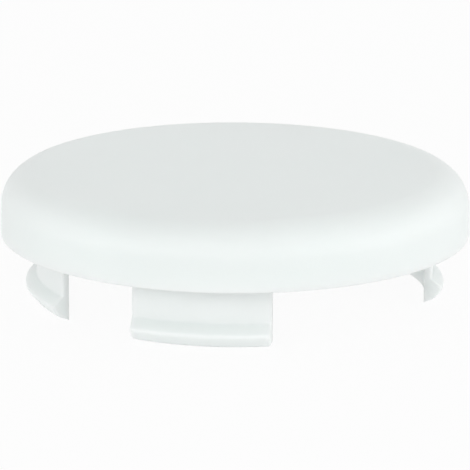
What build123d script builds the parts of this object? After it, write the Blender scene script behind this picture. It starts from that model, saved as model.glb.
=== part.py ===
from build123d import *
from math import hypot, radians, tan
import os

# Snap-in cover cap that closes a round boring in a furniture panel: one moulding in
# white plastic, a shallow shell with thin snap hooks standing down from its underside.
# Millimetres, +Z out of the visible top. The origin is the centre of the rim's seating
# face, which lies on the panel, and the middle of one narrow hook looks along -Y.
# Angles in plan are counted from -Y towards +X.

# The boring and how the cap fits it
BORE_DIAMETER = 35.0
RIM_OVERLAP = 2.5  # what the rim covers of the panel beyond the boring's edge
HOOK_CLEARANCE = 0.47  # gap between a hook's stem and the boring's wall
HOOK_BITE = 0.56  # how far a hook's ridge, before it is rounded, stands beyond that wall

# The visible cap
CAP_HEIGHT = 5.4  # seating face to flat top
SIDE_DRAFT = 1.2  # degrees that the side leans in towards the top
EDGE_RADIUS = 2.9  # the soft round between side and top
FOOT_RADIUS = 0.06  # broken edges of the seating face

# Walls of the shell
TOP_WALL = 1.6
SIDE_WALL = 1.4
INNER_DRAFT = 1.0  # degrees that the cavity narrows towards the top
INNER_CORNER = 0.9  # round between side wall and underside of the top

# Section of a snap hook, the same on all four
HOOK_WALL = 0.63
HOOK_DEPTH = 5.55  # seating face to the tip's inner edge, which reaches lowest
NOSE_HEIGHT = 0.3  # tip's inner edge up to the nose, where the lead-in slope starts
LEAD_IN_HEIGHT = 0.98  # nose up to the ridge
LEAD_IN_RUN = 0.86  # how far the slope swells out over that height
FLARE_HEIGHT = 0.85  # ridge up to where the stem starts to swell out
RIDGE_RADIUS = 0.28
NOSE_RADIUS = 0.3
END_RADIUS = 0.25  # round of a hook's outer edges at its two ends
ROOT_RADIUS = 0.3  # fillet where a hook grows out of the underside

# Spread of the hooks round the rim
NARROW_HOOK_WIDTH = 11.48
CORNER_RADIUS = 0.5  # round of the narrow hook's two lower corners, seen from the front
WIDE_HOOK_NEAR = 47.6  # degrees from the narrow hook's middle to the wide hook's near end
WIDE_HOOK_FAR = 91.6  # degrees to its far end

# What follows from those sizes
BORE_RADIUS = BORE_DIAMETER / 2
RIM_RADIUS = BORE_RADIUS + RIM_OVERLAP
UNDERSIDE = CAP_HEIGHT - TOP_WALL
CAVITY_RADIUS = RIM_RADIUS - SIDE_WALL
STEM_RADIUS = BORE_RADIUS - HOOK_CLEARANCE
STEM_INSIDE = STEM_RADIUS - HOOK_WALL
RIDGE_REACH = BORE_RADIUS + HOOK_BITE
NOSE_DEPTH = HOOK_DEPTH - NOSE_HEIGHT
RIDGE_DEPTH = NOSE_DEPTH - LEAD_IN_HEIGHT
HOOK_ROOT = CAP_HEIGHT - TOP_WALL / 2  # half-way into the top, so hook and top fuse


def cap_shell():
    """The hollow cap without hooks: its half section turned about the Z axis."""
    side_top = RIM_RADIUS - CAP_HEIGHT * tan(radians(SIDE_DRAFT))
    cavity_top = CAVITY_RADIUS - UNDERSIDE * tan(radians(INNER_DRAFT))
    with BuildPart() as shell:
        with BuildSketch(Plane.XZ):
            with BuildLine():
                wall = FilletPolyline(
                    (0, CAP_HEIGHT),
                    (side_top, CAP_HEIGHT),
                    (RIM_RADIUS, 0),
                    (CAVITY_RADIUS, 0),
                    (cavity_top, UNDERSIDE),
                    (0, UNDERSIDE),
                    radius=[EDGE_RADIUS, FOOT_RADIUS, FOOT_RADIUS, INNER_CORNER],
                )
                Line(wall @ 1, wall @ 0)
            make_face()
        revolve(axis=Axis.Z)
    return shell.part


def hook_arc(start, end):
    """The hook's section (stem, flare, ridge, lead-in slope, tip) turned between two angles."""
    with BuildPart() as arc:
        with BuildSketch(Plane.XZ):
            with BuildLine():
                outside = FilletPolyline(
                    (STEM_RADIUS, HOOK_ROOT),
                    (STEM_RADIUS, FLARE_HEIGHT - RIDGE_DEPTH),
                    (RIDGE_REACH, -RIDGE_DEPTH),
                    (RIDGE_REACH - LEAD_IN_RUN, -NOSE_DEPTH),
                    (STEM_INSIDE, -HOOK_DEPTH),
                    radius=[RIDGE_RADIUS, RIDGE_RADIUS, NOSE_RADIUS],
                )
                Polyline(outside @ 1, (STEM_INSIDE, HOOK_ROOT), outside @ 0)
            make_face()
        revolve(axis=Axis.Z, revolution_arc=end - start)
    return arc.part.rotate(Axis.Z, start - 90)


def with_round_ends(hook):
    """The hook with the outer edges of its two upright end faces rounded, from root to tip."""
    ends = [face for face in hook.faces().filter_by(GeomType.PLANE) if abs(face.normal_at().Z) < 0.5]
    outer = [
        edge
        for face in ends
        for edge in face.edges()
        if hypot(edge.center().X, edge.center().Y) > STEM_INSIDE + 1e-3
        and edge.bounding_box().min.Z < HOOK_ROOT - 1e-3
    ]
    return fillet(outer, END_RADIUS)


def narrow_hook():
    """A hook with parallel sides, whose two lower corners are round when seen from the front."""
    block = 3 * RIM_RADIUS
    sides = Box(NARROW_HOOK_WIDTH, block, block)
    front = Pos(0, 0, block / 2 - HOOK_DEPTH) * sides
    lower_edges = front.edges().filter_by(Axis.Y).sort_by(Axis.Z)[:2]
    return with_round_ends(hook_arc(-90, 90) & sides) & fillet(lower_edges, CORNER_RADIUS)


def wide_hook():
    """A hook with radial ends."""
    return with_round_ends(hook_arc(-WIDE_HOOK_FAR, -WIDE_HOOK_NEAR))


def cover_cap():
    """Shell and hooks as one solid, with a fillet round the root of every hook."""
    cap = cap_shell()
    for turn in (0, 180):
        cap += narrow_hook().rotate(Axis.Z, turn)
        cap += wide_hook().rotate(Axis.Z, turn)
    roots = [
        edge
        for edge in cap.edges()
        if abs(edge.bounding_box().min.Z - UNDERSIDE) < 1e-4
        and edge.bounding_box().size.Z < 1e-4
        and edge.length < RIM_RADIUS
    ]
    return fillet(roots, ROOT_RADIUS)


os.makedirs("parts", exist_ok=True)
cap = cover_cap()
cap.label = "cover_cap"
export_step(cap, "parts/cover_cap.step")
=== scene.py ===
from math import cos, pi, radians, sin, tan

import bmesh
import bpy
import numpy as np
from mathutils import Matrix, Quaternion, Vector


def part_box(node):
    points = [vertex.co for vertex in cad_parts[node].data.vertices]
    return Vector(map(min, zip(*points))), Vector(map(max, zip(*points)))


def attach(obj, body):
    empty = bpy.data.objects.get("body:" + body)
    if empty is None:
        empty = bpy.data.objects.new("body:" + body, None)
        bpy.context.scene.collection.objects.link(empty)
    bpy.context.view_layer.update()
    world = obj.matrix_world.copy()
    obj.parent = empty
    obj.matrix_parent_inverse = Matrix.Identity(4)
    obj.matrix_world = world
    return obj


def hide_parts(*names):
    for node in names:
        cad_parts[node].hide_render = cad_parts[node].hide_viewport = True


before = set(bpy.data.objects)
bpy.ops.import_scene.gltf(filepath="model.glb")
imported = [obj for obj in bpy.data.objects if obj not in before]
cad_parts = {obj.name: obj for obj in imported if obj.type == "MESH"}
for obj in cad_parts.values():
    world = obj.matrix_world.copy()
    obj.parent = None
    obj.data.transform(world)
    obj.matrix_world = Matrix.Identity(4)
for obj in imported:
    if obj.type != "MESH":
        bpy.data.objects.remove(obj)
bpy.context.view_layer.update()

# The shell of the cap: a flat round top that runs through a soft round into a short side
# wall. It is moulded in one shot with its hooks, in white polypropylene, and is hollow
# below. Its flat lower edge is what lies on the panel round the boring.
low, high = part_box("cover_cap")
RIM_RADIUS = (high.y - low.y) / 2
CAP_HEIGHT = high.z
TOP_WALL = 0.0016
SIDE_WALL = 0.0014
SIDE_DRAFT = radians(1.2)
INNER_DRAFT = radians(1.0)
EDGE_ROUND = 0.0029
FOOT_ROUND = 0.00006
INNER_ROUND = 0.0009
UNDERSIDE = CAP_HEIGHT - TOP_WALL
UNDERSIDE_STRIP = 1.2 * INNER_ROUND  # how far the section reaches in from the cavity's corner
TOP_STEP = 0.0006
WALL_STEP = 0.0005
EDGE_STEP = 0.0003
STEP_SLACK = 1e-6  # so that a rounding error adds no step
TURN_STEPS = 320
ARC_TURN = radians(5)


def rounded_run(corners, rounds, steps):
    """Points along straight runs whose inner corners are turned into arcs of the given
    radii: each run is divided evenly by its own step, each arc by ARC_TURN. An arc's centre
    lies on the corner's bisector, radius / sin(half the corner's angle) from the corner."""
    corners = np.asarray(corners, float)
    pieces = []
    last = corners[0]

    def straight(start, end, step):
        """Evenly spaced points from start up to, but not including, end."""
        count = int(np.ceil(np.linalg.norm(end - start) / step - STEP_SLACK))
        return start + (end - start) * np.linspace(0, 1, count + 1)[:-1, None]

    for before, corner, after, radius, step in zip(corners, corners[1:], corners[2:], rounds, steps):
        back, on = before - corner, after - corner
        back, on = back / np.linalg.norm(back), on / np.linalg.norm(on)
        half = np.arccos(back @ on) / 2
        centre = corner + (back + on) / np.linalg.norm(back + on) * radius / sin(half)
        first = corner + back * radius / tan(half) - centre
        turn = (pi - 2 * half) * np.sign(first[1] * back[0] - first[0] * back[1])
        count = int(np.ceil(abs(turn) / ARC_TURN))
        angle = np.arctan2(first[1], first[0]) + turn * np.linspace(0, 1, count + 1)
        arc = centre + radius * np.stack([np.cos(angle), np.sin(angle)], 1)
        pieces += [straight(last, arc[0], step), arc[:-1]]
        last = arc[-1]
    return np.concatenate([*pieces, straight(last, corners[-1], steps[-1]), corners[-1:]])


def ring_faces(rings, size, first):
    """Four-cornered faces between rings of points that lie in a row one after the other. Each
    ring has the given number of points and is closed, and first is the first ring's start."""
    start = first + size * np.arange(rings - 1)[:, None]
    here = np.arange(size)[None, :]
    there = (here + 1) % size
    corners = [start + here, start + size + here, start + size + there, start + there]
    return np.stack(corners, -1).reshape(-1, 4).tolist()


def shell_surface():
    """The cap's half section turned about the upright axis: at angle a, the section's
    point (r, z) goes to (r cos a, r sin a, z). The section runs from the pole of the top
    round to the edge of the flat underside, which stays open for the hooks' roots."""
    cavity_top = RIM_RADIUS - SIDE_WALL - UNDERSIDE * tan(INNER_DRAFT)
    section = rounded_run(
        [
            (0, CAP_HEIGHT),
            (RIM_RADIUS - CAP_HEIGHT * tan(SIDE_DRAFT), CAP_HEIGHT),
            (RIM_RADIUS, 0),
            (RIM_RADIUS - SIDE_WALL, 0),
            (cavity_top, UNDERSIDE),
            (cavity_top - UNDERSIDE_STRIP, UNDERSIDE),
        ],
        [EDGE_ROUND, FOOT_ROUND, FOOT_ROUND, INNER_ROUND],
        [TOP_STEP, WALL_STEP, EDGE_STEP, WALL_STEP, EDGE_STEP],
    )
    r, z = section[1:, 0, None], section[1:, 1, None]
    angle = np.linspace(0, 2 * pi, TURN_STEPS, endpoint=False)
    rings = np.stack([r * np.cos(angle), r * np.sin(angle), z + 0 * angle], -1).reshape(-1, 3)
    points = np.concatenate([[[0, 0, CAP_HEIGHT]], rings])
    here = np.arange(TURN_STEPS)
    there = (here + 1) % TURN_STEPS
    middle = np.stack([0 * here, 1 + here, 1 + there], -1).tolist()
    return points, ring_faces(len(r), TURN_STEPS, 1) + middle


# The snap hooks: thin curved tongues of the same moulding that stand down from the underside,
# each with a flare, a rounded ridge that grips the boring and a slope that leads it in. Two are
# narrow with parallel sides and two are wide with radial ends, each with a filleted root.
STEM_RADIUS = 0.01703
HOOK_WALL = 0.00063
STEM_INSIDE = STEM_RADIUS - HOOK_WALL
RIDGE_REACH = 0.01806
NOSE_REACH = 0.0172
HOOK_TIP = low.z
NOSE_HEIGHT = 0.0003  # this and the next two are counted up from the tip
RIDGE_HEIGHT = 0.00128
FLARE_START = 0.00213
RIDGE_ROUND = 0.00028
NOSE_ROUND = 0.0003
END_ROUND = 0.00025
END_ROUND_SHARE = 0.48  # the most of the wall that the round of an end takes
ROOT_FILLET = 0.0003
NARROW_WIDTH = 0.01148
NARROW_CORNER = 0.0005
WIDE_CORNER = 0.00006
WIDE_NEAR = radians(47.6)
WIDE_FAR = radians(91.6)
STEM_STEP = 0.0006
FLARE_STEP = 0.0003
SLOPE_STEP = 0.0001
TIP_STEP = 0.00004
ARC_STEP = 0.0003
CORNER_STEPS = 8


def hook_surface(ends, lower_corner):
    """Plan outlines of the hook stacked along its outer section, from root to tip. Each is a
    ring sector between the hook's inner radius and the section's radius, cut by two upright
    planes, with round outer corners. The root's fillet swells it by fillet - sqrt(fillet^2 -
    rise^2), and the round of the lower corners draws both ends in by the same formula.
    An end is (angle in plan from -Y towards +X, distance of its plane from the axis, side)."""
    section = rounded_run(
        [
            (STEM_RADIUS + ROOT_FILLET, UNDERSIDE),
            (STEM_RADIUS, UNDERSIDE),
            (STEM_RADIUS, HOOK_TIP + FLARE_START),
            (RIDGE_REACH, HOOK_TIP + RIDGE_HEIGHT),
            (NOSE_REACH, HOOK_TIP + NOSE_HEIGHT),
            (STEM_INSIDE, HOOK_TIP),
        ],
        [ROOT_FILLET, RIDGE_ROUND, RIDGE_ROUND, NOSE_ROUND],
        [ROOT_FILLET, STEM_STEP, FLARE_STEP, SLOPE_STEP, TIP_STEP],
    )
    z = section[:, 1]
    rise = np.clip(z - UNDERSIDE + ROOT_FILLET, 0, ROOT_FILLET)
    swell = ROOT_FILLET - np.sqrt(ROOT_FILLET**2 - rise**2)
    drop = np.clip(HOOK_TIP + lower_corner - z, 0, lower_corner)
    draw = lower_corner - np.sqrt(lower_corner**2 - drop**2)
    outer = np.where(rise > 0, STEM_RADIUS + swell, section[:, 0])
    inner = STEM_INSIDE - swell
    corner = np.minimum(END_ROUND + swell, END_ROUND_SHARE * (outer - inner))
    rounds, insides = [], []
    for angle, offset, side in ends:
        along = np.array([sin(angle), -cos(angle)])
        outward = side * np.array([cos(angle), sin(angle)])
        reach = offset + swell - draw
        along_centre = np.sqrt((outer - corner) ** 2 - (reach - corner) ** 2)
        start = np.arctan2(reach - corner, along_centre)[:, None]
        sweep = start + (pi / 2 - start) * np.linspace(0, 1, CORNER_STEPS + 1)
        ahead = along_centre[:, None] + corner[:, None] * np.cos(sweep)
        aside = (reach - corner)[:, None] + corner[:, None] * np.sin(sweep)
        rounds.append(ahead[..., None] * along + aside[..., None] * outward)
        insides.append(np.sqrt(inner**2 - reach**2)[:, None] * along + reach[:, None] * outward)

    def bearing(place):
        """Angle in plan from -Y towards +X."""
        return np.arctan2(place[:, 0], -place[:, 1])[:, None]

    width = np.ptp([bearing(insides[0])[0], bearing(insides[1])[0]]) * STEM_RADIUS
    share = np.linspace(0, 1, int(np.ceil(width / ARC_STEP)) + 1)

    def sector(radius, first, last):
        """Points at one radius from the bearing of one place to the bearing of another."""
        turn = bearing(first) + (bearing(last) - bearing(first)) * share
        return radius[:, None, None] * np.stack([np.sin(turn), -np.cos(turn)], -1)

    outline = np.concatenate(
        [
            sector(outer, rounds[1][:, 0], rounds[0][:, 0])[:, :-1],
            rounds[0],
            sector(inner, insides[0], insides[1]),
            rounds[1][:, :0:-1],
        ],
        1,
    )
    rows, columns = outline.shape[:2]
    points = np.concatenate([outline, np.broadcast_to(z[:, None, None], (rows, columns, 1))], -1)
    return points.reshape(-1, 3), ring_faces(rows, columns, 0)


def half_turn(points):
    """The points turned by half a turn about the upright axis."""
    return points * np.array([-1, -1, 1])


shell_points, shell_faces = shell_surface()
narrow_points, narrow_faces = hook_surface(
    [(0, NARROW_WIDTH / 2, 1), (0, NARROW_WIDTH / 2, -1)], NARROW_CORNER
)
wide_points, wide_faces = hook_surface([(-WIDE_NEAR, 0, 1), (-WIDE_FAR, 0, -1)], WIDE_CORNER)

# The finished moulding: shell and hooks leave the mould as one closed skin of one white
# plastic. The mould is spark-eroded where it makes the skin that shows and polished where it
# makes the hooks and the hollow.
WELD_DISTANCE = 1e-7
SHARP_EDGE = radians(35)
REFRACTION = 1.49
LIGHT_PATH_LENGTH = 0.0015
CLOUD_SIZE = 0.009
DEEPER_WHITE = (0.802, 0.846, 0.834, 1)
LIGHTER_WHITE = (0.828, 0.862, 0.852, 1)
POLISHED_ROUGHNESS = (0.44, 0.50)
GRAINED_ROUGHNESS = (0.48, 0.54)
GRAIN_SIZE = 0.00014
POLISH_LINE = 0.00007
POLISH_LENGTH = 40.0
RELIEF_STRENGTH = 0.6
RELIEF_DEPTH = 0.000015


def one_moulding(name, surfaces):
    """A single closed skin: the surfaces side by side, each hook's tip drawn together to an
    edge, and the flat underside filled in between the shell and the roots of the hooks. Its
    attribute grained is 1 on the skin that shows and 0 on the hooks and in the hollow."""
    mesh = bpy.data.meshes.new(name)
    skin = bmesh.new()
    for points, faces in surfaces:
        mesh.clear_geometry()
        mesh.from_pydata(points.tolist(), [], faces)
        skin.from_mesh(mesh)
    bmesh.ops.remove_doubles(skin, verts=skin.verts, dist=WELD_DISTANCE)
    rims = [edge for edge in skin.edges if edge.is_boundary]
    bmesh.ops.triangle_fill(skin, edges=rims, use_beauty=True)
    bmesh.ops.recalc_face_normals(skin, faces=skin.faces)
    skin.to_mesh(mesh)
    skin.free()
    mesh.shade_smooth()
    mesh.set_sharp_from_angle(angle=SHARP_EDGE)
    places = np.empty(3 * len(mesh.vertices))
    mesh.vertices.foreach_get("co", places)
    x, y, z = places.reshape(-1, 3).T
    outside = (np.hypot(x, y) > RIM_RADIUS - SIDE_WALL / 2) | (z > CAP_HEIGHT - TOP_WALL / 2)
    grained = mesh.attributes.new("grained", "FLOAT", "POINT")
    grained.data.foreach_set("value", outside.astype(float))
    piece = bpy.data.objects.new(name, mesh)
    bpy.context.scene.collection.objects.link(piece)
    return piece


def feed(links, socket, value):
    """Joins the socket to another node's output, or sets it where the value is a plain one."""
    if isinstance(value, bpy.types.NodeSocket):
        links.new(value, socket)
    else:
        socket.default_value = value


def satin_white():
    """White plastic, coloured right through, that lets a little light pass where it is thin.
    The visible skin has the fine even grain of a spark-eroded mould. The hooks and the hollow
    come off polished steel: they are a little smoother, with faint upright lines, along which
    the steel was polished. Soft clouds change colour and sheen by a trace, as flow does."""
    material = bpy.data.materials.new("satin_white_plastic")
    material.use_nodes = True
    nodes, links = material.node_tree.nodes, material.node_tree.links
    shader = nodes["Principled BSDF"]
    shader.inputs["IOR"].default_value = REFRACTION
    shader.inputs["Subsurface Weight"].default_value = 1.0
    shader.inputs["Subsurface Radius"].default_value = (1.0, 1.0, 1.0)
    shader.inputs["Subsurface Scale"].default_value = LIGHT_PATH_LENGTH
    place = nodes.new("ShaderNodeTexCoord").outputs["Object"]
    grained = nodes.new("ShaderNodeAttribute")
    grained.attribute_name = "grained"

    def noise(size, detail, along=1.0):
        """Noise whose grains have the given size across and along times that size upright."""
        stretch = nodes.new("ShaderNodeMapping")
        stretch.inputs["Scale"].default_value = (1 / size, 1 / size, 1 / size / along)
        links.new(place, stretch.inputs["Vector"])
        node = nodes.new("ShaderNodeTexNoise")
        node.inputs["Scale"].default_value = 1.0
        node.inputs["Detail"].default_value = detail
        links.new(stretch.outputs["Vector"], node.inputs["Vector"])
        return node.outputs["Fac"]

    def between(factor, first, second, kind="FLOAT"):
        """The first value or colour where the factor is 0, the second where it is 1. The node
        has its own sockets for each kind of value, so the right ones are picked by number."""
        node = nodes.new("ShaderNodeMix")
        node.data_type = kind
        links.new(factor, node.inputs["Factor"])
        first_socket, second_socket, result = {"FLOAT": (2, 3, 0), "RGBA": (6, 7, 2)}[kind]
        feed(links, node.inputs[first_socket], first)
        feed(links, node.inputs[second_socket], second)
        return node.outputs[result]

    clouds = noise(CLOUD_SIZE, detail=2.0)
    colour = between(clouds, DEEPER_WHITE, LIGHTER_WHITE, "RGBA")
    links.new(colour, shader.inputs["Base Color"])
    polished = between(clouds, *POLISHED_ROUGHNESS)
    satin = between(clouds, *GRAINED_ROUGHNESS)
    links.new(between(grained.outputs["Fac"], polished, satin), shader.inputs["Roughness"])
    lines = noise(POLISH_LINE, detail=1.0, along=POLISH_LENGTH)
    grain = noise(GRAIN_SIZE, detail=3.0)
    bump = nodes.new("ShaderNodeBump")
    bump.inputs["Strength"].default_value = RELIEF_STRENGTH
    bump.inputs["Distance"].default_value = RELIEF_DEPTH
    links.new(between(grained.outputs["Fac"], lines, grain), bump.inputs["Height"])
    links.new(bump.outputs["Normal"], shader.inputs["Normal"])
    return material


moulding = one_moulding(
    "cap_moulding",
    [
        (shell_points, shell_faces),
        (narrow_points, narrow_faces),
        (half_turn(narrow_points), narrow_faces),
        (wide_points, wide_faces),
        (half_turn(wide_points), wide_faces),
    ],
)
moulding.data.materials.append(satin_white())
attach(moulding, "root")
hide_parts("cover_cap")

# The table: a sheet of white acrylic that the cap stands on with the tips of its hooks. It
# throws half of the light back and lets half of it through from below, so the hooks and the
# hollow aren't left dark. To the eye and in reflections it is almost white.
TABLE_SIZE = 4.0
TABLE_CORNERS = ((-1, -1), (1, -1), (1, 1), (-1, 1))
TABLE_WHITE = (0.92, 0.92, 0.92, 1)
LET_THROUGH = 0.5
SHADOW_SHARE = 0.12


def seen_or_mirrored(nodes, links):
    """1 for rays from the camera, for those in reflections and for those that have passed
    through a surface, and 0 for all other rays, which carry the light."""
    path = nodes.new("ShaderNodeLightPath")
    factor = path.outputs["Is Camera Ray"]
    for other in ("Is Glossy Ray", "Is Transmission Ray"):
        either = nodes.new("ShaderNodeMath")
        either.operation = "MAXIMUM"
        links.new(factor, either.inputs[0])
        links.new(path.outputs[other], either.inputs[1])
        factor = either.outputs["Value"]
    return factor


def white_acrylic():
    """Diffuse and translucent in equal parts. What is seen is mostly an even white, with the
    real surface mixed in by SHADOW_SHARE, which keeps a faint shadow. From below, the sheet
    can be looked through."""
    material = bpy.data.materials.new("white_acrylic")
    material.use_nodes = True
    nodes, links = material.node_tree.nodes, material.node_tree.links
    nodes.clear()

    def mixed(factor, first, second):
        """The first shader where the factor is 0, the second where it is 1."""
        node = nodes.new("ShaderNodeMixShader")
        feed(links, node.inputs["Fac"], factor)
        links.new(first, node.inputs[1])
        links.new(second, node.inputs[2])
        return node.outputs["Shader"]

    thrown_back = nodes.new("ShaderNodeBsdfDiffuse")
    thrown_back.inputs["Color"].default_value = TABLE_WHITE
    let_through = nodes.new("ShaderNodeBsdfTranslucent")
    let_through.inputs["Color"].default_value = TABLE_WHITE
    sheet = mixed(LET_THROUGH, thrown_back.outputs["BSDF"], let_through.outputs["BSDF"])
    even_white = nodes.new("ShaderNodeEmission")
    shown = mixed(SHADOW_SHARE, even_white.outputs["Emission"], sheet)
    sheet = mixed(seen_or_mirrored(nodes, links), sheet, shown)
    from_below = nodes.new("ShaderNodeMath")
    from_below.operation = "MULTIPLY"
    links.new(nodes.new("ShaderNodeNewGeometry").outputs["Backfacing"], from_below.inputs[0])
    links.new(nodes.new("ShaderNodeLightPath").outputs["Is Camera Ray"], from_below.inputs[1])
    clear = nodes.new("ShaderNodeBsdfTransparent")
    sheet = mixed(from_below.outputs["Value"], sheet, clear.outputs["BSDF"])
    links.new(sheet, nodes.new("ShaderNodeOutputMaterial").inputs["Surface"])
    return material


floor_mesh = bpy.data.meshes.new("floor")
floor_corners = [(x * TABLE_SIZE / 2, y * TABLE_SIZE / 2, HOOK_TIP) for x, y in TABLE_CORNERS]
floor_mesh.from_pydata(floor_corners, [], [(0, 1, 2, 3)])
floor_mesh.materials.append(white_acrylic())
floor = bpy.data.objects.new("floor", floor_mesh)
bpy.context.scene.collection.objects.link(floor)

# The room: an even white tent round the table. It is at full white to the eye, in reflections
# and for what the acrylic lets through, which lights the cap from below. Its light from above
# has a strength of its own.
ROOM_LIGHT = 0.58
WHITE = (1, 1, 1, 1)
world = bpy.data.worlds.new("white_tent")
world.use_nodes = True
room_nodes, room_links = world.node_tree.nodes, world.node_tree.links
room_light = room_nodes["Background"]
room_light.inputs["Color"].default_value = WHITE
room_light.inputs["Strength"].default_value = ROOM_LIGHT
room_seen = room_nodes.new("ShaderNodeBackground")
room_seen.inputs["Color"].default_value = WHITE
room_mix = room_nodes.new("ShaderNodeMixShader")
room_links.new(seen_or_mirrored(room_nodes, room_links), room_mix.inputs["Fac"])
room_links.new(room_light.outputs["Background"], room_mix.inputs[1])
room_links.new(room_seen.outputs["Background"], room_mix.inputs[2])
room_links.new(room_mix.outputs["Shader"], room_nodes["World Output"].inputs["Surface"])
bpy.context.scene.world = world

# The lamps: five soft boxes in a ring round the table. The two strongest hang so low that a
# third of each is below the table's top, which makes the side of the cap a little brighter
# than its flat top.
LAMP_DISTANCE = 0.7
LAMP_WIDTH = 0.45


def direction(turn, rise):
    """Unit vector out from the cap, turned from -Y towards +X and lifted above the level:
    (sin turn cos rise, -cos turn cos rise, sin rise)."""
    return Vector((sin(turn) * cos(rise), -cos(turn) * cos(rise), sin(rise)))


def soft_box(name, turn, rise, watts):
    """A square area lamp that looks at the cap and isn't itself seen, with turn and rise in
    degrees."""
    towards = direction(radians(turn), radians(rise))
    lamp_data = bpy.data.lights.new(name, "AREA")
    lamp_data.size = LAMP_WIDTH
    lamp_data.energy = watts
    lamp = bpy.data.objects.new(name, lamp_data)
    lamp.location = towards * LAMP_DISTANCE
    lamp.rotation_mode = "QUATERNION"
    lamp.rotation_quaternion = towards.to_track_quat("Z", "Y")
    lamp.visible_camera = False
    bpy.context.scene.collection.objects.link(lamp)


soft_box("soft_box_left", turn=-45, rise=5, watts=1.85)
soft_box("soft_box_front", turn=0, rise=20, watts=0.78)
soft_box("soft_box_right", turn=75, rise=5, watts=2.0)
soft_box("soft_box_back_right", turn=120, rise=20, watts=0.6)
soft_box("soft_box_back", turn=190, rise=30, watts=0.36)

# The camera: it looks down at the cap at fifteen degrees through a long lens, from a little to
# the right of the narrow hook. Its place was fitted to the outline of the cap in the photo.
PHOTO_WIDTH = 470
FOCAL_PIXELS = 3033.16
SHIFT_PIXELS = -6.0
SENSOR_WIDTH = 36
NEAREST_SEEN = 0.01
CAMERA_DISTANCE = 0.26
CAMERA_TURN = radians(9.65)
CAMERA_RISE = radians(14.867)
CAMERA_ROLL = 0.00418
back = direction(CAMERA_TURN, CAMERA_RISE)
camera_data = bpy.data.cameras.new("camera")
camera_data.sensor_width = SENSOR_WIDTH
camera_data.lens = SENSOR_WIDTH * FOCAL_PIXELS / PHOTO_WIDTH
camera_data.shift_y = SHIFT_PIXELS / PHOTO_WIDTH
camera_data.clip_start = NEAREST_SEEN
camera = bpy.data.objects.new("camera", camera_data)
camera.location = back * CAMERA_DISTANCE
camera.rotation_mode = "QUATERNION"
camera.rotation_quaternion = (-back).to_track_quat("-Z", "Y") @ Quaternion((0, 0, 1), CAMERA_ROLL)
bpy.context.scene.collection.objects.link(camera)
bpy.context.scene.camera = camera

bpy.context.scene.view_settings.view_transform = "Standard"
